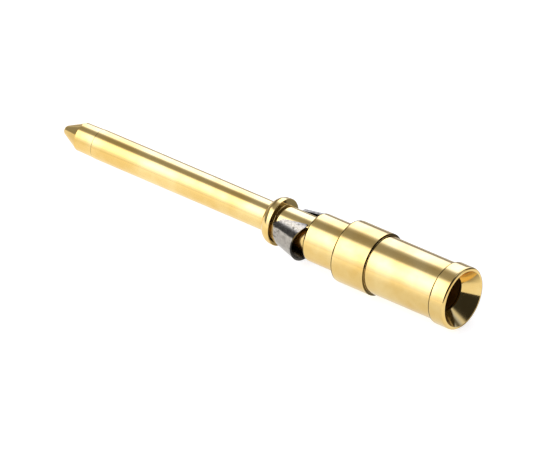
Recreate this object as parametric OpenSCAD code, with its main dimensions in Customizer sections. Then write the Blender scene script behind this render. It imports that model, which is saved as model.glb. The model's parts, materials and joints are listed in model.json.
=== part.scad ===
// Heavy-duty crimp contact: a turned, plated contact that carries a folded retention clip on its neck.
// The contact's axis runs along X, with the pin towards -X and the crimp mouth towards +X.
// It lies on its side: z = 0 is the surface that its two thickest lands rest on.

/* [Pin] */
// Diameter of the contact pin
pin_d = 1.6; // [1.4:0.02:1.8]
// Length from the end of the nose to the front of the collar
pin_l = 13.6; // [9:0.1:20]
// How much smaller the tapered lead-in is at the tip cone than the pin, in radius
lead_drop = 0.035; // [0.02:0.005:0.1]
// Height of the ring-shaped step where the lead-in meets the pin
lead_step = 0.015; // [0.005:0.005:0.02]
// Length from the end of the nose to the ring where the lead-in meets the pin
lead_l = 2.3; // [1.7:0.05:4]
// Half angle of the tip cone, in degrees
tip_angle = 26; // [22:1:40]
// Diameter of the tip cone's small end
nose_d = 0.52; // [0.3:0.01:0.55]
// Radius of the crowned end of the nose
nose_r = 0.3; // [0.28:0.01:0.6]

/* [Neck] */
// Diameter of the collar in front of the clip
collar_d = 2.55; // [2.2:0.05:3]
// Length of the collar, with its bevel
collar_l = 0.6; // [0.4:0.05:1]
// Bevel on the collar's front edge
collar_bevel = 0.22; // [0.05:0.01:0.3]
// Diameter of the neck that the clip turns on
neck_d = 1.88; // [1.6:0.02:2]
// Length of the neck between the collar and the front land
neck_l = 2.25; // [2:0.05:3.5]

/* [Body] */
// Diameter of the front land, which guides the contact in its cavity
land_d = 2.6; // [2.3:0.05:3]
// Length of the front land
land_l = 2.1; // [1:0.05:4]
// Diameter of the bar that the contact is turned from, left on the shoulder and on the end rim
stock_d = 3.35; // [3.2:0.05:4]
// Length of the shoulder
shoulder_l = 2.05; // [1:0.05:4]
// Depth of the break on the turned edges
edge_break = 0.05; // [0.02:0.01:0.07]

/* [Crimp barrel] */
// Diameter of the wire bore
bore_d = 1.85; // [1.4:0.05:2]
// Depth of the wire bore from the mouth to the start of its drill point
bore_l = 6; // [4:0.1:7.5]
// Half angle of the bore's drill point, in degrees
drill_angle = 59; // [45:1:70]
// Wall of the crimp barrel
barrel_wall = 0.625; // [0.4:0.025:0.65]
// Length of the crimp barrel between the shoulder and the end rim
barrel_l = 4.2; // [3:0.1:7]
// Length of the end rim
rim_l = 0.95; // [0.5:0.05:1.5]
// Width of the flat lip round the mouth, with its edge break
lip_w = 0.18; // [0.1:0.005:0.25]
// Half angle of the funnel that leads a wire into the bore, in degrees
funnel_angle = 35; // [30:1:60]

/* [Retention clip] */
// Thickness of the clip's sheet
clip_t = 0.12; // [0.08:0.01:0.15]
// Clearance between the neck and the clip's front edge
clip_fit = 0.04; // [0.03:0.01:0.08]
// Clearance between the clip and the faces at each end of the neck
clip_end_gap = 0.12; // [0.05:0.01:0.2]
// Half angle of the cone that the sheet is rolled to, in degrees
clip_flare = 10.5; // [9:0.5:12]
// Lean of that cone away from the gap, in degrees, which makes a skirt opposite the two arms
clip_lean = 6; // [3:0.5:7]
// Angle round the neck that the gap between the clip's two arms takes at the front edge, in degrees
clip_opening = 111.5; // [90:0.5:120]
// Reach of the prongs at the ends of the arms past the edge of the skirt
prong_l = 0.63; // [0.3:0.01:0.8]
// Width of the prongs at their ends
prong_w = 0.12; // [0.05:0.01:0.2]
// Radius of the scallop between the skirt's edge and each prong
scallop_r = 2.3; // [1.2:0.1:3]
// Height above the axis at which the arms' front corners are cut back
corner_z = 0.33; // [0.2:0.01:0.5]
// Slope of the cut on the arms' front corners, in degrees
corner_angle = 37; // [25:1:60]
// How far the clip is turned on the neck, from its gap straight up towards +Y, in degrees
clip_angle = 10; // [-180:1:180]

/* [Hidden] */
$fn = 96;

pin_r = pin_d / 2;
lead_r = pin_r - lead_drop;
nose_end_r = nose_d / 2;
collar_r = collar_d / 2;
neck_r = neck_d / 2;
land_r = land_d / 2;
stock_r = stock_d / 2;
bore_r = bore_d / 2;
barrel_r = bore_r + barrel_wall;
mouth_r = stock_r - lip_w;

// Places along the axis, counted from the end of the nose
cone_x = nose_r - sqrt(pow(nose_r, 2) - pow(nose_end_r, 2));
lead_x = cone_x + (lead_r - nose_end_r) / tan(tip_angle);
collar_x = pin_l;
neck_x = collar_x + collar_l;
land_x = neck_x + neck_l;
shoulder_x = land_x + land_l;
barrel_x = shoulder_x + shoulder_l;
rim_x = barrel_x + barrel_l;
contact_l = rim_x + rim_l;
funnel_x = contact_l - (mouth_r - bore_r) / tan(funnel_angle);
bore_end_x = contact_l - bore_l;
drill_x = bore_end_x - bore_r / tan(drill_angle);

// Places and sizes of the clip
clip_front_x = neck_x + clip_end_gap;
clip_rear_x = land_x - clip_end_gap;
clip_l = clip_rear_x - clip_front_x;
clip_inner_r = neck_r + clip_fit;
clip_outer_r = clip_inner_r + clip_t / cos(clip_flare);
clip_rear_r = clip_outer_r + clip_l * tan(clip_flare);
clip_gap = 2 * clip_outer_r * sin(clip_opening / 2);
skirt_x = clip_rear_x - prong_l;
arm_rear_z = cos(clip_lean) * sqrt(pow(clip_rear_r, 2) - pow(clip_gap / 2, 2)) - clip_l * sin(clip_lean);
scallop_z = arm_rear_z - prong_w - sqrt(pow(scallop_r, 2) - pow(scallop_r - prong_l, 2));
arm_front_z = sqrt(pow(clip_outer_r, 2) - pow(clip_gap / 2, 2));
// Rise of the arms' cut edges towards the rear, and their angle from straight up as seen along the axis
arm_rise = atan((arm_rear_z - arm_front_z) / clip_l);
arm_angle = atan(clip_gap / (arm_front_z + arm_rear_z));
// Reach past the clip on all sides, for the solids that trim it
trim = 2;

// Profile of one turned land from x0 to x1, as points of radius and place, with a break on each edge
function land(x0, x1, r, front_break, rear_break) = [
    [r - front_break, x0],
    [r, x0 + front_break],
    [r, x1 - rear_break],
    [r - rear_break, x1]
];

// Lays a solid made along +Z from the end of the nose on its side, in the part's own frame
module along_axis() {
    translate([-contact_l / 2, 0, stock_r]) rotate([0, 90, 0]) children();
}

// The turned outline from the tip cone to the end rim
module turned_blank() {
    rotate_extrude() polygon(concat(
        [[0, cone_x], [nose_end_r, cone_x]],
        [[lead_r, lead_x], [pin_r - lead_step, lead_l]],
        [[pin_r, lead_l + lead_step], [pin_r, collar_x]],
        land(collar_x, neck_x, collar_r, collar_bevel, edge_break),
        [[neck_r, neck_x], [neck_r, land_x]],
        land(land_x, shoulder_x, land_r, edge_break, 0),
        land(shoulder_x, barrel_x, stock_r, edge_break, edge_break),
        [[barrel_r, barrel_x], [barrel_r, rim_x]],
        land(rim_x, contact_l, stock_r, edge_break, edge_break),
        [[0, contact_l]]
    ));
}

// The wire bore, with its drill point and the funnel at its mouth
module crimp_bore() {
    over = edge_break;
    rotate_extrude() polygon([
        [0, drill_x],
        [bore_r, bore_end_x],
        [bore_r, funnel_x],
        [mouth_r + over * tan(funnel_angle), contact_l + over],
        [0, contact_l + over]
    ]);
}

// Turned in one piece: pin, collar, neck, front land, shoulder and crimp barrel
module contact_body() {
    color("#e3bd5c") along_axis() {
        difference() {
            turned_blank();
            crimp_bore();
        }
        translate([0, 0, nose_r]) sphere(r = nose_r);
    }
}

// Cone that leans away from the gap, of radius r at the clip's front edge
module leaning_cone(r) {
    front_r = r - trim * tan(clip_flare);
    rear_r = r + (clip_l + trim) * tan(clip_flare);
    translate([0, 0, clip_front_x]) rotate([0, clip_lean, 0]) translate([0, 0, -trim])
        cylinder(h = clip_l + 2 * trim, r1 = front_r, r2 = rear_r);
}

// Side outline of the rolled sheet, as height above the axis against place along it
module clip_outline() {
    top = clip_rear_r;
    difference() {
        polygon([
            [clip_front_x, -top - trim],
            [clip_front_x, corner_z],
            [clip_front_x + (top - corner_z) / tan(corner_angle), top],
            [clip_rear_x, top],
            [clip_rear_x, -top - trim]
        ]);
        translate([skirt_x + scallop_r, scallop_z]) circle(r = scallop_r);
        translate([skirt_x, scallop_z - 2 * top - trim]) square([prong_l + trim, 2 * top + trim]);
    }
}

// Wedge that opens the gap between the arms, with its sides nearly square to the sheet
module gap_wedge() {
    top = clip_rear_r + trim;
    half_w = top * tan(arm_angle);
    translate([0, 0, (clip_front_x + clip_rear_x) / 2]) rotate([0, -arm_rise, 0])
        linear_extrude(clip_l + 2 * trim, center = true)
            polygon([[0, 0], [-top, half_w], [-top, -half_w]]);
}

// One strip of spring steel, rolled round the neck with its gap on the upper side
module retention_clip() {
    color("#b9b5ae") along_axis() rotate([0, 0, -clip_angle]) intersection() {
        difference() {
            leaning_cone(clip_outer_r);
            leaning_cone(clip_inner_r);
            gap_wedge();
        }
        rotate([0, -90, 0]) rotate([90, 0, 0])
            linear_extrude(2 * (clip_rear_r + trim), center = true) clip_outline();
    }
}

contact_body();
retention_clip();
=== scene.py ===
"""Looks of a turned, gold-plated crimp contact and of the spring clip on its neck.

Both pieces are modelled in millimetres in the part's own frame, with the contact's axis along X, its
mouth towards +X and its lowest line at z = 0, and are scaled to metres when they are finished.
"""

import json
import logging
import math
from dataclasses import dataclass
from enum import Enum
from typing import Any, Callable

import bmesh
import bpy
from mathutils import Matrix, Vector


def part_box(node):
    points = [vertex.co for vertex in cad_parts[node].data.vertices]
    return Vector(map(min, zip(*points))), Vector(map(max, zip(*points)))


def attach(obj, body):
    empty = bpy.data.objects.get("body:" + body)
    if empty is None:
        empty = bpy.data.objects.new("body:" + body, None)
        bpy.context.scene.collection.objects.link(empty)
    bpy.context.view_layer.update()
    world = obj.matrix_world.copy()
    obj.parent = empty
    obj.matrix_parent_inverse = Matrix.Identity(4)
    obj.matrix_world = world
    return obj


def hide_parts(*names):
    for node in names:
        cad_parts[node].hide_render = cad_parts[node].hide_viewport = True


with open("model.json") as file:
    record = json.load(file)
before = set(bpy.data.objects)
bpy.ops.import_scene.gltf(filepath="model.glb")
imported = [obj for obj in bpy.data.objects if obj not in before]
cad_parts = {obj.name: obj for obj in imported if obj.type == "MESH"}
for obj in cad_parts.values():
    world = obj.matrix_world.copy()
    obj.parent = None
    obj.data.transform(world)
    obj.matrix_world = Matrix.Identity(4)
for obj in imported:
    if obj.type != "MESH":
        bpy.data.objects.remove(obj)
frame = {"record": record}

LOG = logging.getLogger("crimp_contact")
MM = 0.001
# Points closer than this, in millimetres, are one point
MERGE = 1e-5

Point = tuple[float, float]
Colour = tuple[float, float, float, float]


def linear(hex_colour: str) -> Colour:
    """Turns an sRGB colour to the linear values that shaders take.

    Args:
        hex_colour: Colour as #rrggbb.

    Returns:
        Red, green, blue and an alpha of 1.
    """
    channels = [int(hex_colour[i : i + 2], 16) / 255 for i in (1, 3, 5)]
    light = [c / 12.92 if c <= 0.04045 else ((c + 0.055) / 1.055) ** 2.4 for c in channels]
    return (*light, 1.0)


def add_node(
    tree: bpy.types.NodeTree, kind: str, inputs: dict[int | str, Any] | None = None, **settings: Any
) -> bpy.types.Node:
    """Adds a node with its settings and links.

    Args:
        tree: Node tree of a material or of the world.
        kind: Blender's name of the node's type.
        inputs: For each input, by name or number, its value, the output that feeds it, or a node whose
            first output in use feeds it.
        **settings: Properties of the node, such as its operation.

    Returns:
        The new node.
    """
    node = tree.nodes.new(kind)
    for name, value in settings.items():
        setattr(node, name, value)
    for key, value in (inputs or {}).items():
        if isinstance(value, bpy.types.Node):
            value = next(output for output in value.outputs if output.enabled)
        if isinstance(value, bpy.types.NodeSocket):
            tree.links.new(value, node.inputs[key])
        else:
            node.inputs[key].default_value = value
    return node


def new_material(name: str) -> tuple[bpy.types.Material, bpy.types.NodeTree]:
    """Makes an empty node material.

    Args:
        name: What the finish is.

    Returns:
        The material and its node tree.
    """
    material = bpy.data.materials.new(name)
    material.use_nodes = True
    material.node_tree.nodes.clear()
    return material, material.node_tree


def draw_chain(name: str, points: list[Vector]) -> bpy.types.Object:
    """Draws an open line from point to point as a new mesh, and leaves it in edit mode, all selected.

    Args:
        name: Name of the new object.
        points: Corners of the line, in millimetres.

    Returns:
        The new object.
    """
    bpy.ops.object.select_all(action="DESELECT")
    bpy.ops.mesh.primitive_plane_add(size=1.0)
    piece = bpy.context.object
    piece.name = name
    bpy.ops.object.mode_set(mode="EDIT")
    bpy.ops.mesh.select_mode(type="VERT")
    bpy.ops.mesh.select_all(action="SELECT")
    bpy.ops.mesh.merge(type="CENTER")
    bpy.ops.transform.translate(value=points[0])
    for here, there in zip(points, points[1:]):
        bpy.ops.mesh.extrude_vertices_move(TRANSFORM_OT_translate={"value": there - here})
    bpy.ops.mesh.select_all(action="SELECT")
    return piece


def draw_prism(name: str, points: list[Vector], run: Vector) -> bpy.types.Object:
    """Draws a closed solid by filling an outline and pulling it along a straight line.

    Args:
        name: Name of the new object.
        points: Corners of the outline, in millimetres.
        run: Direction and length of the pull, in millimetres.

    Returns:
        The new object, in object mode.
    """
    solid = draw_chain(name, points)
    bpy.ops.mesh.edge_face_add()
    bpy.ops.mesh.extrude_region_move(TRANSFORM_OT_translate={"value": run})
    bpy.ops.mesh.select_all(action="SELECT")
    bpy.ops.mesh.normals_make_consistent(inside=False)
    bpy.ops.object.mode_set(mode="OBJECT")
    return solid


def select_edges(piece: bpy.types.Object, test: Callable[[Vector], bool]) -> None:
    """Selects, in edit mode, each edge whose middle passes a test, and nothing else.

    Args:
        piece: Object in edit mode.
        test: Tells whether a point is on the line that is wanted.
    """
    bpy.ops.mesh.select_mode(type="EDGE")
    bpy.ops.mesh.select_all(action="DESELECT")
    mesh = bmesh.from_edit_mesh(piece.data)
    for edge in mesh.edges:
        start, end = (corner.co for corner in edge.verts)
        edge.select_set(test((start + end) / 2))
    bmesh.update_edit_mesh(piece.data)


def apply_modifier(piece: bpy.types.Object, kind: str, **settings: Any) -> None:
    """Adds a modifier to a piece and applies it.

    Args:
        piece: Object in object mode.
        kind: Blender's name of the modifier's type.
        **settings: Properties of the modifier.
    """
    bpy.context.view_layer.objects.active = piece
    modifier = piece.modifiers.new(kind.title(), kind)
    for name, value in settings.items():
        setattr(modifier, name, value)
    bpy.ops.object.modifier_apply(modifier=modifier.name)


def trim(piece: bpy.types.Object, cutter: bpy.types.Object, operation: str) -> None:
    """Cuts a piece with a closed solid, and removes that solid.

    Args:
        piece: Object that is cut.
        cutter: Closed solid that cuts it.
        operation: INTERSECT keeps what lies inside the solid, DIFFERENCE what lies outside.
    """
    apply_modifier(piece, "BOOLEAN", object=cutter, operation=operation, solver="EXACT")
    bpy.data.objects.remove(cutter)


def mount(name: str) -> dict[str, Any]:
    """Finds one of the part's mounts in its record, by name."""
    return next(m for m in frame["record"]["mounts"] if m["name"] == name)


class Part(Enum):
    """The part's two solids: the node, the body that it moves with and its material slot."""

    CONTACT = ("contact_body", "contact", "gold_plate")
    CLIP = ("retention_clip", "clip", "spring_steel")

    def __init__(self, node: str, body: str, slot: str) -> None:
        """Names what belongs to one solid.

        Args:
            node: Its CAD node.
            body: Body that it moves with.
            slot: Its material slot in the record.
        """
        self.node = node
        self.body = body
        self.slot = slot

    def hand_over(self, piece: bpy.types.Object, material: bpy.types.Material) -> None:
        """Scales a finished piece to metres, smooths and paints it, and lets it stand for its solid.

        Args:
            piece: Piece modelled in millimetres, in object mode.
            material: Its finish.
        """
        smooth_below = math.radians(24)
        bpy.ops.object.select_all(action="DESELECT")
        piece.select_set(True)
        bpy.context.view_layer.objects.active = piece
        bpy.ops.object.shade_smooth_by_angle(angle=smooth_below)
        apply_modifier(piece, "WEIGHTED_NORMAL", mode="FACE_AREA", weight=100, keep_sharp=True)
        bpy.ops.transform.resize(value=(MM, MM, MM), center_override=(0, 0, 0))
        bpy.ops.object.transform_apply(location=True, rotation=True, scale=True)
        piece.data.materials.clear()
        piece.data.materials.append(material)
        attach(piece, self.body)
        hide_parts(self.node)
        LOG.info("%s stands for %s with %d faces", piece.name, self.node, len(piece.data.polygons))


@dataclass(frozen=True)
class GoldPlate:
    """Hard gold over turned copper alloy.

    Bright plating follows the turned surface, so it mirrors the studio with a slight haze, shows the
    tool's feed as faint lines round the axis, and shifts in tone where the gold is thinner. Along the
    turned edges a fine brown line of painted shade is drawn, and the drilled bore is dull.
    """

    bright: str = "#fcdd96"
    deep: str = "#f2ca77"
    # Painted shade: the fine brown line drawn on the turned edges
    edge: str = "#625023"
    bore: str = "#b8945a"
    bore_rough: float = 0.45
    tone_mm: float = 1.6
    tone_range: Point = (0.35, 0.65)
    # A tool's feed is nearer to 0.04 mm: the lines are drawn coarser, so that they show
    feed_mm: float = 0.13
    feed_depth_mm: float = 0.0003
    feed_rough: float = 0.6
    # The grain of the plating is far finer than this, which is as fine as a picture shows
    haze_mm: float = 0.06
    polish: float = 0.09
    haze: float = 0.15

    def material(self, edges: list[Point], drill_point: Vector, drilled_r: float) -> bpy.types.Material:
        """Builds the node material.

        Args:
            edges: Start and end along X of the line of painted shade on each turned edge, in
                millimetres.
            drill_point: Deepest point of the bore, in millimetres.
            drilled_r: Radius within which the bore is drilled, in millimetres.

        Returns:
            The material.
        """
        # A warm, nearly sharp mirror that is drawn out a little across the turning marks
        material, tree = new_material("bright_gold_plate")
        place = add_node(tree, "ShaderNodeTexCoord").outputs["Object"]
        along = add_node(tree, "ShaderNodeSeparateXYZ", {0: place}).outputs["X"]
        tone = add_node(
            tree,
            "ShaderNodeTexNoise",
            {"Vector": place, "Scale": 1 / (self.tone_mm * MM), "Detail": 3.0},
        )
        thin = add_node(
            tree,
            "ShaderNodeMapRange",
            {"Value": tone, "From Min": self.tone_range[0], "From Max": self.tone_range[1]},
        )
        spokes = add_node(
            tree,
            "ShaderNodeVectorMath",
            {0: place, 1: (0.0, 1.0, 1.0), 2: (0.0, 0.0, -drill_point.z * MM)},
            operation="MULTIPLY_ADD",
        )
        radius = add_node(tree, "ShaderNodeVectorMath", {0: spokes}, operation="LENGTH")
        within = add_node(tree, "ShaderNodeMath", {0: radius, 1: drilled_r * MM}, operation="LESS_THAN")
        inside = add_node(
            tree, "ShaderNodeMath", {0: along, 1: drill_point.x * MM}, operation="GREATER_THAN"
        )
        drilled = add_node(tree, "ShaderNodeMath", {0: within, 1: inside}, operation="MULTIPLY")
        layers = [(thin, self.deep), (drilled, self.bore)]
        # Painted shade: a brown band on each turned edge
        for start, end in edges:
            edge_shade_band = add_node(
                tree,
                "ShaderNodeMath",
                {0: along, 1: (start + end) / 2 * MM, 2: (end - start) / 2 * MM},
                operation="COMPARE",
            )
            layers.append((edge_shade_band, self.edge))
        colour = linear(self.bright)
        for share, shade in layers:
            colour = add_node(
                tree,
                "ShaderNodeMix",
                {"Factor": share, "A": colour, "B": linear(shade)},
                data_type="RGBA",
            )
        grain = add_node(
            tree,
            "ShaderNodeTexNoise",
            {"Vector": place, "Scale": 1 / (self.haze_mm * MM), "Detail": 2.0},
        )
        plated = add_node(
            tree, "ShaderNodeMapRange", {"Value": grain, "To Min": self.polish, "To Max": self.haze}
        )
        roughness = add_node(
            tree,
            "ShaderNodeMix",
            {"Factor": drilled, "A": plated, "B": self.bore_rough},
            data_type="FLOAT",
        )
        feed = add_node(
            tree,
            "ShaderNodeTexNoise",
            {"W": along, "Scale": 1 / (self.feed_mm * MM), "Detail": 2.0, "Roughness": self.feed_rough},
            noise_dimensions="1D",
        )
        bump = add_node(tree, "ShaderNodeBump", {"Height": feed, "Distance": self.feed_depth_mm * MM})
        shader = add_node(
            tree,
            "ShaderNodeBsdfPrincipled",
            {"Base Color": colour, "Metallic": 1.0, "Roughness": roughness, "Normal": bump},
        )
        add_node(tree, "ShaderNodeOutputMaterial", {"Surface": shader})
        return material


@dataclass(frozen=True)
class SpringSteel:
    """Cold-rolled spring steel strip, tumbled after forming.

    Rolling leaves fine lines round the clip, tumbling a grey, slightly mottled sheen and short dark
    scratches. The edges that were sheared across the strip are darker than its faces: partly their own
    duller grey, partly painted shade.
    """

    pale: str = "#c4beb4"
    dark: str = "#a09a91"
    scratch: str = "#6f6a63"
    # Sheared faces: their own duller grey, deepened further as painted shade
    shear_and_shade: str = "#5c574f"
    # Share of X in a face's direction from which it is a sheared edge
    shear_from: Point = (0.35, 0.6)
    # Marks of tumbling are nearer to 0.02 mm and those of rolling to 0.01 mm: both are drawn coarser, so
    # that they show
    mottle_mm: float = 0.09
    mottle_range: Point = (0.35, 0.65)
    mottle_rough: float = 0.65
    scratch_mm: tuple[float, float, float] = (0.3, 0.09, 0.09)
    scratch_range: Point = (0.58, 0.68)
    roll_mm: float = 0.035
    roll_depth_mm: float = 0.0002
    smooth: float = 0.1
    rough: float = 0.16

    def material(self) -> bpy.types.Material:
        """Builds the node material.

        Returns:
            The material.
        """
        # A grey, slightly soft mirror with a broken sheen
        material, tree = new_material("tumbled_spring_steel")
        coordinates = add_node(tree, "ShaderNodeTexCoord").outputs
        place = coordinates["Object"]
        along = add_node(tree, "ShaderNodeSeparateXYZ", {0: place}).outputs["X"]
        facing = add_node(tree, "ShaderNodeSeparateXYZ", {0: coordinates["Normal"]}).outputs["X"]
        endwise = add_node(tree, "ShaderNodeMath", {0: facing}, operation="ABSOLUTE")
        # Faces cut across the strip, darker partly as painted shade
        sheared_and_shaded = add_node(
            tree,
            "ShaderNodeMapRange",
            {"Value": endwise, "From Min": self.shear_from[0], "From Max": self.shear_from[1]},
            interpolation_type="SMOOTHSTEP",
        )
        mottle = add_node(
            tree,
            "ShaderNodeTexNoise",
            {
                "Vector": place,
                "Scale": 1 / (self.mottle_mm * MM),
                "Detail": 4.0,
                "Roughness": self.mottle_rough,
            },
        )
        patchy = add_node(
            tree,
            "ShaderNodeMapRange",
            {"Value": mottle, "From Min": self.mottle_range[0], "From Max": self.mottle_range[1]},
        )
        stretched = add_node(
            tree,
            "ShaderNodeMapping",
            {"Vector": place, "Scale": [1 / (size * MM) for size in self.scratch_mm]},
        )
        marks = add_node(tree, "ShaderNodeTexNoise", {"Vector": stretched, "Scale": 1.0, "Detail": 2.0})
        scratched = add_node(
            tree,
            "ShaderNodeMapRange",
            {"Value": marks, "From Min": self.scratch_range[0], "From Max": self.scratch_range[1]},
        )
        colour = linear(self.pale)
        for share, shade in ((patchy, self.dark), (scratched, self.scratch), (sheared_and_shaded, self.shear_and_shade)):
            colour = add_node(
                tree,
                "ShaderNodeMix",
                {"Factor": share, "A": colour, "B": linear(shade)},
                data_type="RGBA",
            )
        roughness = add_node(
            tree, "ShaderNodeMapRange", {"Value": mottle, "To Min": self.smooth, "To Max": self.rough}
        )
        rolled = add_node(
            tree,
            "ShaderNodeTexNoise",
            {"W": along, "Scale": 1 / (self.roll_mm * MM), "Detail": 2.0},
            noise_dimensions="1D",
        )
        bump = add_node(tree, "ShaderNodeBump", {"Height": rolled, "Distance": self.roll_depth_mm * MM})
        shader = add_node(
            tree,
            "ShaderNodeBsdfPrincipled",
            {"Base Color": colour, "Metallic": 1.0, "Roughness": roughness, "Normal": bump},
        )
        add_node(tree, "ShaderNodeOutputMaterial", {"Surface": shader})
        return material


@dataclass
class TurnedContact:
    """The contact itself, turned from one bar. Sizes in millimetres, places counted from the nose."""

    length: float
    stock_r: float
    pin_r: float
    lead_end: float
    collar_x: float
    shoulder_x: float
    bore_r: float
    bore_end_x: float
    funnel_x: float
    nose_r: float = 0.3
    nose_end_r: float = 0.26
    tip_angle: float = math.radians(26)
    lead_drop: float = 0.035
    lead_step: float = 0.015
    collar_r: float = 1.275
    collar_l: float = 0.6
    collar_bevel: float = 0.22
    neck_r: float = 0.94
    neck_l: float = 2.25
    land_r: float = 1.3
    shoulder_l: float = 2.05
    barrel_r: float = 1.55
    rim_l: float = 0.95
    lip_w: float = 0.18
    drill_angle: float = math.radians(59)
    # Front edges of the lands are rolled off over a short run, and the other edges are rounded
    roll_run: float = 0.09
    roll_drop: float = 0.0165
    roll_ease: float = 0.1
    front_round: float = 0.01
    rear_round: float = 0.025
    mouth_round: float = 0.13
    corner_round: float = 0.025
    collar_round: float = 0.2
    round_steps: int = 4
    # Width of the line of painted shade on a front edge
    shade_line_w: float = 0.055
    facets: int = 256
    finish: GoldPlate = GoldPlate()

    @classmethod
    def from_frame(cls) -> "TurnedContact":
        """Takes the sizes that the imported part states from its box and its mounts.

        Returns:
            The contact, ready to build.
        """
        low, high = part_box(Part.CONTACT.node)
        pin, bore, seat = mount("contact_pin"), mount("wire_bore"), mount("cavity_seat")
        pin_mid = (pin["pos_m"][0] - low.x) / MM
        bore_mid = (bore["pos_m"][0] - low.x) / MM
        pin_half = pin["dims"]["length_mm"] / 2
        bore_half = bore["dims"]["length_mm"] / 2
        return cls(
            length=(high.x - low.x) / MM,
            stock_r=(high.z - low.z) / MM / 2,
            pin_r=pin["dims"]["r_mm"],
            lead_end=pin_mid - pin_half,
            collar_x=pin_mid + pin_half,
            shoulder_x=(seat["pos_m"][0] - low.x) / MM,
            bore_r=bore["dims"]["r_mm"],
            bore_end_x=bore_mid - bore_half,
            funnel_x=bore_mid + bore_half,
        )

    @property
    def neck_x(self) -> float:
        """Place of the neck's front end."""
        return self.collar_x + self.collar_l

    @property
    def land_x(self) -> float:
        """Place of the front land."""
        return self.neck_x + self.neck_l

    @property
    def barrel_x(self) -> float:
        """Place of the crimp barrel, which is the shoulder's rear face."""
        return self.shoulder_x + self.shoulder_l

    @property
    def rim_x(self) -> float:
        """Place of the end rim."""
        return self.length - self.rim_l

    def outline(self) -> list[Point]:
        """Follows the turned profile from the nose to the mouth and back in to the drill point.

        Returns:
            Corners as place from the nose and radius.
        """
        arc_steps = 8
        reach = math.asin(self.nose_end_r / self.nose_r)
        crown = [
            (self.nose_r * (1 - math.cos(a)), self.nose_r * math.sin(a))
            for a in (reach * i / arc_steps for i in range(arc_steps + 1))
        ]
        lead_r = self.pin_r - self.lead_drop
        lead_x = crown[-1][0] + (lead_r - self.nose_end_r) / math.tan(self.tip_angle)
        return [
            *crown,
            (lead_x, lead_r),
            (self.lead_end - self.lead_step, self.pin_r - self.lead_step),
            (self.lead_end, self.pin_r),
            (self.collar_x, self.pin_r),
            (self.collar_x, self.collar_r - self.collar_bevel),
            (self.collar_x + self.collar_bevel, self.collar_r),
            (self.neck_x, self.collar_r),
            (self.neck_x, self.neck_r),
            (self.land_x, self.neck_r),
            *self.front_edge(self.land_x, self.land_r),
            (self.shoulder_x, self.land_r),
            *self.front_edge(self.shoulder_x, self.stock_r),
            (self.barrel_x, self.stock_r),
            (self.barrel_x, self.barrel_r),
            (self.rim_x, self.barrel_r),
            *self.front_edge(self.rim_x, self.stock_r),
            (self.length, self.stock_r),
            (self.length, self.stock_r - self.lip_w),
            (self.funnel_x, self.bore_r),
            (self.bore_end_x, self.bore_r),
            (self.bore_end_x - self.bore_r / math.tan(self.drill_angle), 0.0),
        ]

    def front_edge(self, x: float, r: float) -> list[Point]:
        """Gives the corners of a rolled-off front edge, at a place and a radius."""
        ease = (x + self.roll_run * (1 - self.roll_ease), r - self.roll_drop * self.roll_ease / 2)
        return [(x, r - self.roll_drop), ease, (x + self.roll_run, r)]

    def on_rings(self, rings: list[Point]) -> Callable[[Vector], bool]:
        """Makes a test that tells whether a point lies on one of some turned edges.

        Args:
            rings: Place from the nose and radius of each edge.

        Returns:
            The test, for points in millimetres in the part's frame.
        """
        near = 1e-3

        def test(point: Vector) -> bool:
            """Tells whether a point lies on one of the edges.

            Args:
                point: Point in millimetres in the part's frame.

            Returns:
                Whether an edge passes through it.
            """
            place = point.x + self.length / 2
            radius = math.hypot(point.y, point.z - self.stock_r)
            return any(abs(place - x) < near and abs(radius - r) < near for x, r in rings)

        return test

    def build(self) -> bpy.types.Object:
        """Spins the outline about the axis, rounds the edges and plates the piece.

        Returns:
            The finished piece.
        """
        outline = self.outline()
        points = [Vector((x - self.length / 2, 0.0, self.stock_r + r)) for x, r in outline]
        drill_point = points[-1]
        piece = draw_chain("turned_contact", points)
        axis_point = (0.0, 0.0, self.stock_r)
        bpy.ops.mesh.spin(steps=self.facets, angle=math.tau, center=axis_point, axis=(1, 0, 0))
        bpy.ops.mesh.select_all(action="SELECT")
        bpy.ops.mesh.remove_doubles(threshold=MERGE)
        bpy.ops.mesh.normals_make_consistent(inside=False)
        for rings, width in self.rounds(outline):
            select_edges(piece, self.on_rings(rings))
            bpy.ops.mesh.bevel(
                offset=width, segments=self.round_steps, affect="EDGES", clamp_overlap=False
            )
        bpy.ops.object.mode_set(mode="OBJECT")
        # The wall of the bore itself counts as drilled
        drilled_r = self.bore_r + MERGE
        material = self.finish.material(self.painted_shade_lines(), drill_point, drilled_r)
        Part.CONTACT.hand_over(piece, material)
        return piece

    def painted_shade_lines(self) -> list[Point]:
        """Places the brown lines of painted shade, one on each turned edge that shows dark.

        Returns:
            Start and end of each line along X, in millimetres in the part's frame.
        """
        fronts = [x + self.front_round for x in (self.land_x, self.shoulder_x, self.rim_x)]
        lines = [(x, x + self.shade_line_w) for x in fronts]
        # On the shoulder's rear edge it stays on the narrow face, and at the lead-in it covers the step
        lines.append((self.barrel_x - self.front_round, self.barrel_x + self.front_round))
        lines.append((self.lead_end - 2 * self.lead_step, self.lead_end))
        return [(start - self.length / 2, end - self.length / 2) for start, end in lines]

    def rounds(self, outline: list[Point]) -> list[tuple[list[Point], float]]:
        """Sorts the turned edges into the collar, the mouth, front edges, rear edges and inner corners.

        Args:
            outline: Corners of the profile.

        Returns:
            Edges and the width of their rounding, for each kind.
        """
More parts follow.
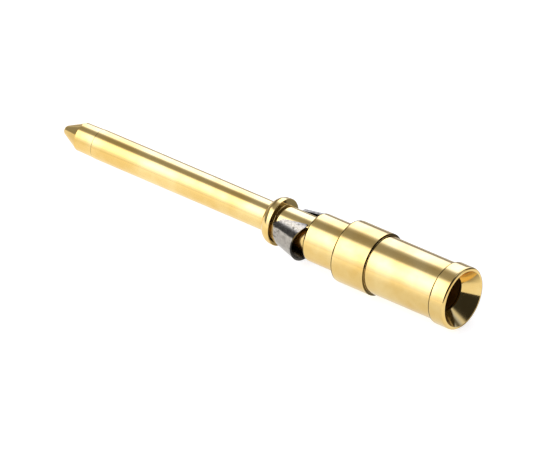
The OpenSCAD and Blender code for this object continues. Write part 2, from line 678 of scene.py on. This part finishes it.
        # Sine of the turn from which a corner of the profile counts as a square one
        square = 0.9
        front, rear, inner = [], [], []
        for before, here, after in zip(outline, outline[1:], outline[2:]):
            ahead = (here[0] - before[0], here[1] - before[1])
            onward = (after[0] - here[0], after[1] - here[1])
            turn = ahead[0] * onward[1] - ahead[1] * onward[0]
            sine = turn / (math.hypot(*ahead) * math.hypot(*onward))
            if sine > square:
                inner.append(here)
            elif sine < -square:
                (front if ahead[1] > 0 else rear).append(here)
        collar = (self.collar_x + self.collar_bevel, self.collar_r)
        mouth = (self.length, self.stock_r)
        rear.remove(mouth)
        return [
            ([collar], self.collar_round),
            ([mouth], self.mouth_round),
            (front, self.front_round),
            (rear, self.rear_round),
            (inner, self.corner_round),
        ]


@dataclass
class RolledClip:
    """Retention clip: one strip rolled to a leaning cone round the neck, with its gap on the upper side.

    Sizes in millimetres, places along X in the part's frame, heights above the contact's axis.
    """

    front_x: float
    rear_x: float
    axis_z: float
    inner_r: float = 0.98
    sheet_t: float = 0.12
    flare: float = math.radians(10.5)
    lean: float = math.radians(6)
    opening: float = math.radians(111.5)
    prong_l: float = 0.63
    prong_w: float = 0.12
    scallop_r: float = 2.3
    corner_z: float = 0.33
    corner_angle: float = math.radians(37)
    turn: float = math.radians(10)
    edge_round: float = 0.012
    edge_steps: int = 2
    # Faces that meet at more than this angle have an edge that is rounded
    edge_angle: float = math.radians(40)
    # How far the uncut cone and the solids that trim it reach past the clip
    reach: float = 2.0
    facets: int = 256
    finish: SpringSteel = SpringSteel()

    @classmethod
    def from_frame(cls) -> "RolledClip":
        """Takes the clip's ends and the contact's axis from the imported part."""
        low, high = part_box(Part.CLIP.node)
        return cls(low.x / MM, high.x / MM, mount("contact_pin")["pos_m"][2] / MM)

    @property
    def front_r(self) -> float:
        """Outer radius of the rolled sheet at its front edge."""
        return self.inner_r + self.sheet_t / math.cos(self.flare)

    @property
    def length(self) -> float:
        """Length of the clip along the contact."""
        return self.rear_x - self.front_x

    @property
    def rear_r(self) -> float:
        """Outer radius of the rolled cone at the clip's rear edge."""
        return self.front_r + self.length * math.tan(self.flare)

    @property
    def gap_w(self) -> float:
        """Width of the gap between the two arms, which stays the same along them."""
        return 2 * self.front_r * math.sin(self.opening / 2)

    def arm_heights(self) -> Point:
        """Finds the arms' cut edges.

        Returns:
            Their height above the axis at the front edge and at the rear edge.
        """
        front_z = math.sqrt(self.front_r**2 - (self.gap_w / 2) ** 2)
        rear_z = math.sqrt(self.rear_r**2 - (self.gap_w / 2) ** 2)
        return front_z, rear_z * math.cos(self.lean) - self.length * math.sin(self.lean)

    def outline(self) -> list[Point]:
        """Follows the clip seen from the side, with the scallop that leaves a prong on each arm.

        Returns:
            Corners as place along X and height above the axis.
        """
        arc_steps = 32
        arm_z = self.arm_heights()[1]
        skirt_x = self.rear_x - self.prong_l
        centre_x = skirt_x + self.scallop_r
        start = math.acos((self.rear_x - centre_x) / self.scallop_r)
        centre_z = arm_z - self.prong_w - self.scallop_r * math.sin(start)
        scallop = [
            (centre_x + self.scallop_r * math.cos(a), centre_z + self.scallop_r * math.sin(a))
            for a in (start + (math.pi - start) * i / arc_steps for i in range(arc_steps + 1))
        ]
        top, bottom = self.rear_r, -self.rear_r - self.reach
        return [
            (self.front_x, bottom),
            (self.front_x, self.corner_z),
            (self.front_x + (top - self.corner_z) / math.tan(self.corner_angle), top),
            (self.rear_x, top),
            *scallop,
            (skirt_x, bottom),
        ]

    def side_cutter(self) -> bpy.types.Object:
        """Makes a block of the clip's side outline, as wide as the clip and more.

        Returns:
            The closed block.
        """
        half_w = 2 * self.reach
        points = [Vector((x, -half_w, self.axis_z + z)) for x, z in self.outline()]
        return draw_prism("clip_outline", points, Vector((0.0, 2 * half_w, 0.0)))

    def gap_cutter(self) -> bpy.types.Object:
        """Makes the wedge that opens the gap between the arms, its sides nearly square to the sheet.

        Returns:
            The closed wedge.
        """
        front_z, rear_z = self.arm_heights()
        rise = (rear_z - front_z) / self.length
        start_x = self.front_x - self.reach
        start_z = self.axis_z - rise * (self.length / 2 + self.reach)
        top = self.rear_r + self.reach
        half_w = top * self.gap_w / (front_z + rear_z) * math.cos(math.atan(rise))
        corners = ((-half_w, top), (0.0, 0.0), (half_w, top))
        points = [Vector((start_x, y, start_z + z)) for y, z in corners]
        run = self.length + 2 * self.reach
        return draw_prism("clip_gap", points, Vector((run, 0.0, run * rise)))

    def build(self) -> bpy.types.Object:
        """Rolls the sheet to a cone, cuts it to its outline, opens the gap and turns it on the neck.

        Returns:
            The finished piece.
        """
        length = self.length + 2 * self.reach
        start_r = self.front_r - self.reach * math.tan(self.flare)
        axis = Vector((math.cos(self.lean), 0.0, -math.sin(self.lean)))
        middle = Vector((self.front_x, 0.0, self.axis_z)) + axis * (length / 2 - self.reach)
        bpy.ops.object.select_all(action="DESELECT")
        bpy.ops.mesh.primitive_cone_add(
            vertices=self.facets,
            radius1=start_r,
            radius2=start_r + length * math.tan(self.flare),
            depth=length,
            end_fill_type="NOTHING",
            location=middle,
            rotation=(0.0, math.pi / 2 + self.lean, 0.0),
        )
        piece = bpy.context.object
        piece.name = "rolled_clip"
        bpy.ops.object.transform_apply(location=True, rotation=True, scale=True)
        bpy.ops.object.mode_set(mode="EDIT")
        bpy.ops.mesh.select_all(action="SELECT")
        bpy.ops.mesh.normals_make_consistent(inside=False)
        bpy.ops.object.mode_set(mode="OBJECT")
        apply_modifier(piece, "SOLIDIFY", thickness=self.sheet_t, offset=-1.0, use_even_offset=True)
        trim(piece, self.side_cutter(), "INTERSECT")
        trim(piece, self.gap_cutter(), "DIFFERENCE")
        apply_modifier(
            piece,
            "BEVEL",
            width=self.edge_round,
            segments=self.edge_steps,
            limit_method="ANGLE",
            angle_limit=self.edge_angle,
        )
        bpy.ops.object.select_all(action="DESELECT")
        piece.select_set(True)
        axis_point = (0.0, 0.0, self.axis_z)
        bpy.ops.transform.rotate(value=self.turn, orient_axis="X", center_override=axis_point)
        Part.CLIP.hand_over(piece, self.finish.material())
        return piece


class Line(Enum):
    """What an edge in the studio's light is drawn along."""

    LENGTHWISE = "along the contact"
    ACROSS = "across it, towards the far side"
    ROUND = "round it, from straight up"
    SLANTING = "along the contact, with the slant of the panels' ends"


@dataclass(frozen=True)
class SoftEdge:
    """Soft edge in the studio's light: where it starts and ends, and the levels before and after it."""

    line: Line
    start: float
    end: float
    before: float = 0.0
    after: float = 1.0


def draw_edges(
    tree: bpy.types.NodeTree,
    light: "LightTable | PanelTent",
    lines: dict[Line, bpy.types.NodeSocket | bpy.types.Node],
    unit: float = 1.0,
) -> dict[str, bpy.types.Node]:
    """Draws each soft edge that is a field of a light.

    Args:
        tree: Node tree of a material or of the world.
        light: Light that has the edges.
        lines: What the edges are drawn along.
        unit: Size of the unit that the edges' starts and ends are given in.

    Returns:
        The node that gives the level across each edge, by the name of its field.
    """
    return {
        name: add_node(
            tree,
            "ShaderNodeMapRange",
            {
                "Value": lines[edge.line],
                "From Min": edge.start * unit,
                "From Max": edge.end * unit,
                "To Min": edge.before,
                "To Max": edge.after,
            },
            interpolation_type="SMOOTHSTEP",
        )
        for name, edge in vars(light).items()
        if isinstance(edge, SoftEdge)
    }


@dataclass(frozen=True)
class LightTable:
    """White table that the part lies on. Places in millimetres, levels as shares of white.

    The camera sees it white, with a faint shadow under the part. Polished metal sees levels painted on
    it: white on the near side, more so under the pin than under the barrel, where it is painted shade,
    dim behind the part, where it is a painted shadow, and dark at the horizon.
    """

    surface: str = "#c8c8c8"
    white: str = "#ffffff"
    glow: float = 0.76
    # Near side: levels under the pin and, lower as painted shade, under the barrel; gains ahead of the
    # nose and further out
    barrel: SoftEdge = SoftEdge(Line.LENGTHWISE, -8.0, 12.0, 1.04, 0.81)
    nose: SoftEdge = SoftEdge(Line.LENGTHWISE, -17.5, -13.0, 0.846, 1.0)
    near: SoftEdge = SoftEdge(Line.ACROSS, -2.0, -12.0, 1.0, 1.12)
    # Behind the part a painted shadow dims it, but past the tip and past the mouth it is bright again
    behind: SoftEdge = SoftEdge(Line.ACROSS, 1.6, 3.4)
    dim: SoftEdge = SoftEdge(Line.LENGTHWISE, -8.0, 12.0, 0.72, 0.58)
    past_tip: SoftEdge = SoftEdge(Line.LENGTHWISE, -13.2, -14.6)
    tip_level: float = 1.05
    past_mouth: SoftEdge = SoftEdge(Line.LENGTHWISE, 12.6, 14.0)
    mouth_level: float = 0.95
    horizon: SoftEdge = SoftEdge(Line.ACROSS, 10.0, 25.0)
    horizon_level: float = 0.25
    # Painted shadow of the barrel, which only metal mirrors, and its four sides
    painted_shadow_level: float = 0.3
    shadow_front: SoftEdge = SoftEdge(Line.LENGTHWISE, 0.2, 1.2)
    shadow_rear: SoftEdge = SoftEdge(Line.LENGTHWISE, 14.0, 12.6)
    shadow_near: SoftEdge = SoftEdge(Line.ACROSS, -0.5, 0.1)
    shadow_far: SoftEdge = SoftEdge(Line.ACROSS, 7.0, 3.5)
    # Half of the table's width, in metres
    half_size: float = 0.5

    def build(self) -> bpy.types.Object:
        """Lays the table under the part.

        Returns:
            The table.
        """
        # A matt white that glows evenly, so that only the part's shadow shows on it
        material, tree = new_material("white_table")
        place = add_node(tree, "ShaderNodeTexCoord").outputs["Object"]
        axes = add_node(tree, "ShaderNodeSeparateXYZ", {0: place}).outputs
        edges = draw_edges(tree, self, {Line.LENGTHWISE: axes["X"], Line.ACROSS: axes["Y"]}, MM)
        level = edges["barrel"]
        for gain in (edges["nose"], edges["near"]):
            level = add_node(tree, "ShaderNodeMath", {0: level, 1: gain}, operation="MULTIPLY")
        dim = add_node(
            tree,
            "ShaderNodeMix",
            {"Factor": edges["past_tip"], "A": edges["dim"], "B": self.tip_level},
            data_type="FLOAT",
        )
        # Behind the part the mirrored level is a painted shadow
        for share, light in (
            (edges["behind"], dim),
            (edges["past_mouth"], self.mouth_level),
            (edges["horizon"], self.horizon_level),
        ):
            level = add_node(
                tree, "ShaderNodeMix", {"Factor": share, "A": level, "B": light}, data_type="FLOAT"
            )
        # Painted shadow under the barrel, seen only in reflections
        shaded = 1 - self.painted_shadow_level
        for side in ("shadow_front", "shadow_rear", "shadow_near", "shadow_far"):
            shaded = add_node(tree, "ShaderNodeMath", {0: edges[side], 1: shaded}, operation="MULTIPLY")
        clear = add_node(tree, "ShaderNodeMath", {0: 1.0, 1: shaded}, operation="SUBTRACT")
        level = add_node(tree, "ShaderNodeMath", {0: level, 1: clear}, operation="MULTIPLY")
        mirrored = add_node(tree, "ShaderNodeEmission", {"Strength": level})
        seen = add_node(
            tree,
            "ShaderNodeBsdfPrincipled",
            {
                "Base Color": linear(self.surface),
                "Roughness": 1.0,
                "Specular IOR Level": 0.0,
                "Emission Color": linear(self.white),
                "Emission Strength": self.glow,
            },
        )
        glossy = add_node(tree, "ShaderNodeLightPath").outputs["Is Glossy Ray"]
        look = add_node(tree, "ShaderNodeMixShader", {0: glossy, 1: seen, 2: mirrored})
        add_node(tree, "ShaderNodeOutputMaterial", {"Surface": look})
        bpy.ops.object.select_all(action="DESELECT")
        bpy.ops.mesh.primitive_plane_add(size=2 * self.half_size)
        table = bpy.context.object
        table.name = "white_table"
        table.data.materials.append(material)
        return table


@dataclass(frozen=True)
class PanelTent:
    """Two long diffusing panels, one on each side of the part, in a dim room.

    The light is drawn on the world by direction: round the contact's axis from straight up, in degrees,
    positive on the far side, and along the axis, from -1 at the nose's end to 1 at the mouth's end.
    Levels are shares of white.
    """

    peak: float = 3.2
    # Angle and level of the near panel, the dim gap overhead, the far panel and the dark horizon behind
    stops: tuple[Point, ...] = (
        (-92, 1.1),
        (-84, 1.22),
        (-75, 1.5),
        (-64, 2.1),
        (-50, 2.65),
        (-29, 2.3),
        (-20, 1.5),
        (-12, 0.4),
        (-3, 0.33),
        (15, 0.32),
        (25, 0.55),
        (36, 1.7),
        (44, 2.4),
        (60, 2.5),
        (72, 2.1),
        (80, 1.4),
        (87, 0.3),
        (92, 0.22),
    )
    # Level at which a fading panel looks coolest, how far from it the coolness reaches, and its shares
    cool_at: float = 1.5
    cool_reach: float = 1.2
    cool_near: float = 0.2
    cool_far: float = 0.6
    # Red that a cool panel loses, as a share of the blue that it gains
    cool_red: float = 0.25
    # Towards the nose the near panel reaches further over the part, by up to this many degrees
    gap_lean: float = -21.0
    gap_lean_from: Point = (-0.53, -0.83)
    # Towards the mouth the far panel's lower edge rises, in degrees
    rising: SoftEdge = SoftEdge(Line.LENGTHWISE, 0.0, 0.22, 0.0, 26.0)
    # The far panel dims towards the mouth, and both panels a little towards the nose
    far: SoftEdge = SoftEdge(Line.ROUND, 0.0, 20.0)
    far_dim: SoftEdge = SoftEdge(Line.LENGTHWISE, -0.4, 0.2, 0.0, 0.68)
    nose_dim: SoftEdge = SoftEdge(Line.LENGTHWISE, -0.7, -0.56, 0.22, 0.0)
    # The panels' front ends slant: overhead they reach further, by this much for each degree
    nose_slant: float = 0.0027
    past_nose: SoftEdge = SoftEdge(Line.SLANTING, -0.855, -0.875)
    # The wall beyond the nose is dark in the corner, and brighter low down on the far side
    wall: SoftEdge = SoftEdge(Line.LENGTHWISE, -0.92, -0.76, 0.3, 0.07)
    wall_far: SoftEdge = SoftEdge(Line.ROUND, 62.0, 82.0, 1.0, 3.0)
    # Both panels end beside the mouth, the near one sooner
    near_end: SoftEdge = SoftEdge(Line.LENGTHWISE, 0.02, 0.25)
    far_end: SoftEdge = SoftEdge(Line.LENGTHWISE, 0.37, 0.47)
    end_level: float = 0.03
    # A pale wall stands beyond the mouth on the far side
    back: SoftEdge = SoftEdge(Line.LENGTHWISE, 0.5, 0.64)
    back_far: SoftEdge = SoftEdge(Line.ROUND, 42.0, 66.0)
    back_level: float = 0.75

    def build(self) -> bpy.types.World:
        """Draws the tent on the scene's world.

        Returns:
            The world.
        """
        world = bpy.data.worlds.new("panel_tent")
        world.use_nodes = True
        tree = world.node_tree
        tree.nodes.clear()
        ray = add_node(tree, "ShaderNodeTexCoord").outputs["Generated"]
        axes = add_node(tree, "ShaderNodeSeparateXYZ", {0: ray}).outputs
        turn = add_node(tree, "ShaderNodeMath", {0: axes["Y"], 1: axes["Z"]}, operation="ARCTAN2")
        angle = add_node(tree, "ShaderNodeMath", {0: turn}, operation="DEGREES")
        aside = add_node(tree, "ShaderNodeMath", {0: angle}, operation="ABSOLUTE")
        slanting = add_node(
            tree,
            "ShaderNodeMath",
            {0: aside, 1: -self.nose_slant, 2: axes["X"]},
            operation="MULTIPLY_ADD",
        )
        lines = {Line.LENGTHWISE: axes["X"], Line.ROUND: angle, Line.SLANTING: slanting}
        edges = draw_edges(tree, self, lines)
        lean = add_node(
            tree,
            "ShaderNodeMapRange",
            {
                "Value": axes["X"],
                "From Min": self.gap_lean_from[0],
                "From Max": self.gap_lean_from[1],
                "To Min": 0.0,
                "To Max": self.gap_lean,
            },
        )
        leaning = angle
        for shift in (edges["rising"], lean):
            leaning = add_node(tree, "ShaderNodeMath", {0: leaning, 1: shift}, operation="ADD")
        dim, wall, behind = (
            add_node(tree, "ShaderNodeMath", {0: edges[one], 1: edges[other]}, operation="MULTIPLY")
            for one, other in (("far", "far_dim"), ("wall", "wall_far"), ("back", "back_far"))
        )
        wall = add_node(tree, "ShaderNodeMath", {0: wall, 1: self.peak}, operation="DIVIDE")
        ended = add_node(
            tree,
            "ShaderNodeMix",
            {"Factor": edges["far"], "A": edges["near_end"], "B": edges["far_end"]},
            data_type="FLOAT",
        )
        camera = add_node(tree, "ShaderNodeLightPath").outputs["Is Camera Ray"]
        colour = self.around(tree, leaning)
        for share, light in (
            (dim, self.grey(0.0)),
            (edges["nose_dim"], self.grey(0.0)),
            (edges["past_nose"], wall),
            (ended, self.grey(self.end_level)),
            (behind, self.grey(self.back_level)),
            (camera, self.grey(1.0)),
        ):
            colour = add_node(
                tree, "ShaderNodeMix", {"Factor": share, "A": colour, "B": light}, data_type="RGBA"
            )
        background = add_node(tree, "ShaderNodeBackground", {"Color": colour, "Strength": self.peak})
        add_node(tree, "ShaderNodeOutputWorld", {"Surface": background})
        bpy.context.scene.world = world
        return world

    def grey(self, level: float) -> Colour:
        """Gives the colour of a neutral level, as a share of the brightest one."""
        return (level / self.peak,) * 3 + (1.0,)

    def tint(self, level: float, share: float) -> Colour:
        """Gives the colour of a panel at a level, cooler where it fades.

        Args:
            level: Brightness as a share of white.
            share: How much bluer the panel gets.

        Returns:
            The colour, as a share of the brightest level.
        """
        cool = share * max(0.0, 1 - abs(level - self.cool_at) / self.cool_reach)
        red, green, blue, alpha = self.grey(level)
        return red * (1 - self.cool_red * cool), green, min(blue * (1 + cool), 1.0), alpha

    def around(self, tree: bpy.types.NodeTree, angle: bpy.types.Node) -> bpy.types.Node:
        """Draws the panels round the axis.

        Args:
            tree: Node tree of the world.
            angle: Angle from straight up, in degrees.

        Returns:
            The node that gives the colour.
        """
        half_turn = 180.0
        share = add_node(
            tree, "ShaderNodeMapRange", {"Value": angle, "From Min": -half_turn, "From Max": half_turn}
        )
        ramp = add_node(tree, "ShaderNodeValToRGB", {"Fac": share})
        elements = ramp.color_ramp.elements
        while len(elements) < len(self.stops):
            elements.new(1.0)
        for element, (degrees, level) in zip(elements, self.stops):
            element.position = (degrees + half_turn) / (2 * half_turn)
            element.color = self.tint(level, self.cool_far if degrees > 0 else self.cool_near)
        return ramp


@dataclass(frozen=True)
class Viewpoint:
    """Camera at the photograph's viewing angle, with a lens long enough to show little perspective."""

    azimuth: float = math.radians(38.5)
    elevation: float = math.radians(32.5)
    lens_mm: float = 1300.0
    image_px: tuple[int, int] = (540, 450)
    px_per_mm: float = 19.75
    aim_mm: tuple[float, float, float] = (0.445, 0.0, 1.675)
    aim_px: Point = (269.7, 216.5)

    def build(self) -> bpy.types.Object:
        """Places the camera and makes it the scene's camera.

        Returns:
            The camera.
        """
        flat = math.cos(self.elevation)
        back = Vector(
            (math.sin(self.azimuth) * flat, -math.cos(self.azimuth) * flat, math.sin(self.elevation))
        )
        right = Vector((math.cos(self.azimuth), math.sin(self.azimuth), 0.0))
        up = back.cross(right)
        data = bpy.data.cameras.new("photo_view")
        data.lens = self.lens_mm
        distance = self.image_px[0] / self.px_per_mm * self.lens_mm / data.sensor_width
        aside = (self.aim_px[0] - self.image_px[0] / 2) / self.px_per_mm
        below = (self.aim_px[1] - self.image_px[1] / 2) / self.px_per_mm
        place = Vector(self.aim_mm) + back * distance - right * aside + up * below
        camera = bpy.data.objects.new("photo_view", data)
        camera.location = place * MM
        camera.rotation_euler = (-back).to_track_quat("-Z", "Y").to_euler()
        bpy.context.scene.collection.objects.link(camera)
        bpy.context.scene.camera = camera
        return camera


def main() -> None:
    """Builds the two pieces, the studio and the camera."""
    logging.basicConfig(level=logging.INFO, format="%(name)s: %(message)s")
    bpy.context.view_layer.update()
    bpy.context.scene.view_settings.view_transform = "Standard"
    for assembly in (TurnedContact.from_frame(), RolledClip.from_frame()):
        piece = assembly.build()
        LOG.info("built %s", piece.name)
    for stage in (LightTable(), PanelTent(), Viewpoint()):
        LOG.info("set up %s", stage.build().name)


if __name__ == "__main__":
    main()
